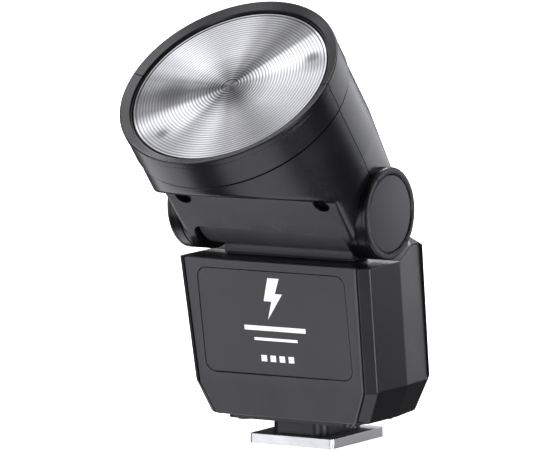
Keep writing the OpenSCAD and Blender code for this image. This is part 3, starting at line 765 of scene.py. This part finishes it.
def swing_opening():
    """The space between the fork arms that the body's neck swings through as the head tilts."""
    wrap = math.radians(54)
    reach = 16
    behind = 20
    outline = [(0, 0), (0, OPENING_FRONT), (-reach, OPENING_FRONT), (-reach, -behind),
               (reach * math.cos(wrap), -behind), (reach * math.cos(wrap), -reach * math.sin(wrap))]
    opening = prism(outline, -ARM_IN, ARM_IN)
    round_opening(opening)
    return opening


def head_hollow():
    """The space inside the head, kept out of the fork arms so that they stay solid."""
    hollow = head_solid(WALL, 96, 2, [(BARREL_R - WALL, 24.0), (BARREL_R - WALL, 20)])
    arms = [(-30, -30), (8.6, -30), (8.6, 30), (-30, 30)]
    for side in (-1, 1):
        low, high = sorted((side * (ARM_IN - 1.4), side * 40))
        combine(hollow, prism(arms, low, high), "DIFFERENCE")
    return hollow


def make_head_shells():
    """Both shells as one skin, with the bosses, the hollow and every opening."""
    skin = head_solid(0, 320, 0.55, barrel_profile())
    for side in (-1, 1):
        combine(skin, side_lathe(BOSS_PROFILE, side, 160), "UNION")
    combine(skin, head_hollow(), "DIFFERENCE")
    combine(skin, lathe(LENS_SEAT, 160, HEAD_FRAME), "DIFFERENCE")
    knuckle = [(0, -ARM_IN), (KNUCKLE_R, -ARM_IN), (KNUCKLE_R, ARM_IN), (0, ARM_IN)]
    combine(skin, side_lathe(knuckle, 1, 128), "DIFFERENCE")
    combine(skin, swing_opening(), "DIFFERENCE")
    for side in (-1, 1):
        combine(skin, side_lathe(SOCKET_PROFILE, side, 96), "DIFFERENCE")
        upright = Matrix.Translation((side * SCREW_X, 0, SCREW_U)) @ Matrix.Rotation(-math.pi / 2, 4, "X")
        combine(skin, lathe(SCREW_HOLE, 48, HEAD_FRAME @ upright), "DIFFERENCE")
    return skin


def round_opening(obj):
    """Rounds the swing opening's two corners in the underside panel."""
    bm = bmesh.new()
    bm.from_mesh(obj.data)
    inverse = HEAD_FRAME.inverted()
    chosen = []
    for edge in bm.edges:
        ends = [inverse @ v.co for v in edge.verts]
        if all(abs(p.z - OPENING_FRONT) < 0.01 and abs(abs(p.x) - ARM_IN) < 0.01 for p in ends):
            chosen.append(edge)
    bmesh.ops.bevel(bm, geom=chosen, offset=OPENING_CORNER, segments=8, affect="EDGES", profile=0.5)
    bm.to_mesh(obj.data)
    bm.free()


def split_shells(skin):
    """Parts the head along its moulded joint into the lower and the upper shell."""
    half_seam = 0.1
    upper = link_mesh("Head", skin.data.copy())
    for obj, node, low, high in ((skin, "head_lower_shell", -FAR, SPLIT_V - half_seam),
                                 (upper, "head_upper_shell", SPLIT_V + half_seam, FAR)):
        kept = [(low, -FAR), (high, -FAR), (high, FAR), (low, FAR)]
        combine(obj, prism(kept, -FAR, FAR), "INTERSECT")
        smooth(obj, 30)
        finish_piece(obj, node + "_piece", "head", "head_shell", (node,))


# ---- Lens and caps ---------------------------------------------------------------------------

def make_lens():
    """Ribbed lens: rounded ridges round a small centre disc, inside a smooth clear border."""
    top = LENS_FRONT - 0.06
    border = 19.02
    profile = [(0, LENS_BACK), (LENS_R, LENS_BACK), (LENS_R, 31.1), (border, 31.2), (border, top - 0.1),
               (border - 0.08, top + 0.01), (border - 0.2, top + 0.04), (border - 0.48, top + 0.04),
               (border - 0.56, top - 0.05)]
    # One ridge, as (step inwards, share of the depth below its crest)
    ridge = [(0.02, 1.0), (0.15, 0.36), (0.30, 0.0), (0.45, 0.36), (0.58, 1.0)]
    for i in range(RIDGE_COUNT):
        outer = LENS_RIDGES_R - LENS_PITCH * i
        profile += [(outer - step, top - RIDGE_DEPTH * drop) for step, drop in ridge]
    disc_r = LENS_RIDGES_R - LENS_PITCH * RIDGE_COUNT
    profile += [(disc_r - 0.03, top - 0.1), (disc_r * 0.6, top - 0.02), (0, top)]
    obj = lathe(profile, 256, HEAD_FRAME)
    smooth(obj, 38, weighted=False)
    finish_piece(obj, "fresnel_lens_piece", "head", "lens_clear", ("fresnel_lens",))


def make_caps():
    """Slightly crowned discs in the bosses' recesses."""
    face = BOSS_FACE - 0.14
    profile = [(0, 21.22), (7.25, 21.22), (7.25, face - 0.22), (7.19, face - 0.07), (7.06, face),
               (6.9, face + 0.015), (0, face + 0.03)]
    for side, node in ((1, "right_pivot_cap"), (-1, "left_pivot_cap")):
        obj = side_lathe(profile, side, 128)
        smooth(obj, 40, weighted=False)
        finish_piece(obj, node + "_piece", "head", "head_shell", (node,), "pivot_cap")


# ---- Springs ---------------------------------------------------------------------------------

def make_spring(node):
    """A coil spring made from its CAD node's form, on no body, with its points placed in the world."""
    obj = node_mesh(node)
    tidy_mesh(obj)
    smooth(obj, 50)
    finish_piece(obj, node + "_piece", None, frame["nodes"][node].data.materials[0].name, (node,))
    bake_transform(obj)


# ---- Printed marks ---------------------------------------------------------------------------

def bar(x, z, width, height):
    """Upright rectangle about a centre."""
    return [(x - width / 2, z - height / 2), (x + width / 2, z - height / 2),
            (x + width / 2, z + height / 2), (x - width / 2, z + height / 2)]


def print_marks(name, outlines, base, proud, body="body", material="white_print"):
    """Thin printed shapes between two depths in the body's frame. Each outline is (X, Z)."""
    points = []
    faces = []
    for outline in outlines:
        first = len(points)
        count = len(outline)
        for y in (base, proud):
            points += [(x, y, z) for x, z in outline]
        faces.append(tuple(range(first, first + count)))
        faces.append(tuple(range(first + 2 * count - 1, first + count - 1, -1)))
        faces += side_walls(first, count)
    obj = make_object(name, points, faces, BODY_FRAME)
    tidy_mesh(obj)
    finish_piece(obj, name, body, "label", material=material)


def bolt(x, z, size, mirror=1):
    """Lightning-bolt outline about a centre, size high. mirror is -1 where it is seen from behind."""
    shape = [(-0.075, 0.5), (0.2375, 0.5), (0.0875, 0.125), (0.2875, 0.125), (-0.1625, -0.5),
             (-0.025, -0.0625), (-0.2375, -0.0625)]
    return [(x + mirror * size * p, z + size * q) for p, q in shape]


def disc(x, z, r):
    """Round outline about a centre."""
    return [(x + p, z + q) for p, q in circle_points(r, 24)]


def make_front_marks():
    """A bolt, two bars and four squares on the label panel."""
    shapes = [bolt(0, 30.2, 8), bar(0, 24.4, 13.5, 0.9), bar(0, 22.3, 9.5, 0.55)]
    shapes += [bar(x, 18.6, 1.2, 1.2) for x in (-3, -1, 1, 3)]
    print_marks("front_marks", shapes, FRONT_FACE + 0.04, FRONT_FACE - 0.01)


def rear_marks(name, outlines, height, body, material):
    """Marks that stand a little proud of a surface, which is height above the rear face."""
    top = REAR_FACE + height
    print_marks(name, outlines, top - 0.03, top + 0.02, body, material)


def make_rear_marks():
    """Signs on the display, the keys, the dial and beside the switch, as seen from behind with +X to the
    left."""
    battery = [bar(-9.0, 31.5, 3.2, 0.15), bar(-9.0, 29.9, 3.2, 0.15), bar(-7.45, 30.7, 0.15, 1.6),
               bar(-10.55, 30.7, 0.15, 1.6), bar(-10.8, 30.7, 0.3, 0.7)]
    battery += [bar(x, 30.7, 0.6, 1.0) for x in (-8.1, -9.0, -9.9)]
    scale = [bar(9.6 - 2.4 * i, 23.8 + 0.2 * i, 1.3, 0.6 + 0.4 * i) for i in range(9)]
    signs = [bolt(9.8, 30.7, 2.2, -1), bar(3.0, 30.7, 4.5, 0.5), bar(-2.2, 30.7, 2.6, 0.5),
             bar(0, 29.1, 22, 0.08)]
    rear_marks("display_signs", battery + scale + signs, 0, "body", "display_print")
    switch_signs = [bar(-10.4, 11.2, 0.22, 0.9), disc(-8.0, 11.2, 0.45)]
    rear_marks("switch_signs", switch_signs, 0, "body", "grey_print")
    key_height = 0.8
    mode_sign = [bar(-10 + x, 19.3, 0.5, 0.5) for x in (-0.9, 0, 0.9)]
    rear_marks("mode_sign", mode_sign, key_height, "mode_button", "grey_print")
    sync_sign = [bar(-2.8, 19.3 + z, 1.9 - abs(z), 0.25) for z in (-0.6, 0, 0.6)]
    rear_marks("sync_sign", sync_sign, key_height, "sync_button", "grey_print")
    dial_height = 2.2
    rear_marks("dial_sign", [bar(7.4, 20.1, 0.3, 1.5)], dial_height, "control_dial", "grey_print")


# ---- Assembly --------------------------------------------------------------------------------

place_camera()
place_floor()
place_lights()

split_shells(make_head_shells())
make_lens()
make_caps()
make_front_marks()
make_rear_marks()
make_spring("centre_spring")
for number in range(1, 5):
    make_spring(f"signal_spring_{number}")

# Node, body, slot, width of the rounding, least angle and length of a rounded edge
refined("front_cover", "body", "front_plate", 0.30, 20, 1.0)
refined("main_housing", "body", "body_shell", 0.30, 5, 1.0)
refined("rear_cover", "body", "body_shell", 0.25, 20, 4.0, change=against_housing)
refined("label_panel", "body", "label", 0.12)
refined("base_plate", "body", "body_shell", 0.20, 28, 0.5)
refined("foot_plate", "body", "foot_metal", 0.16, 28, 0.5)
refined("foot_stem", "body", "black_plastic", 0.45, 28, 0.9)
# The neck block is black plastic, drawn in its lighter copy: painted light
refined("neck_block", "body", "black_plastic", 0.20, 28, 0.9, "neck_painted_light_plastic")
refined("display_window", "body", "display_black", 0.12)
refined("mode_button", "mode_button", "rubber_key", 0.20)
refined("sync_button", "sync_button", "rubber_key", 0.20)
refined("test_button", "test_button", "test_key", 0.20)
refined("power_switch", "power_switch", "black_plastic", 0.10)
refined("set_button", "set_button", "silver_key", 0.20)
refined("control_dial", "control_dial", "rubber_key", 0.06)

# CAD nodes that stay get the material of their own slot
for node in frame["nodes"].values():
    if not node.hide_render:
        for index, slot in enumerate(node.data.materials):
            node.material_slots[index].link = "OBJECT"
            node.material_slots[index].material = MATERIALS[slot.name]
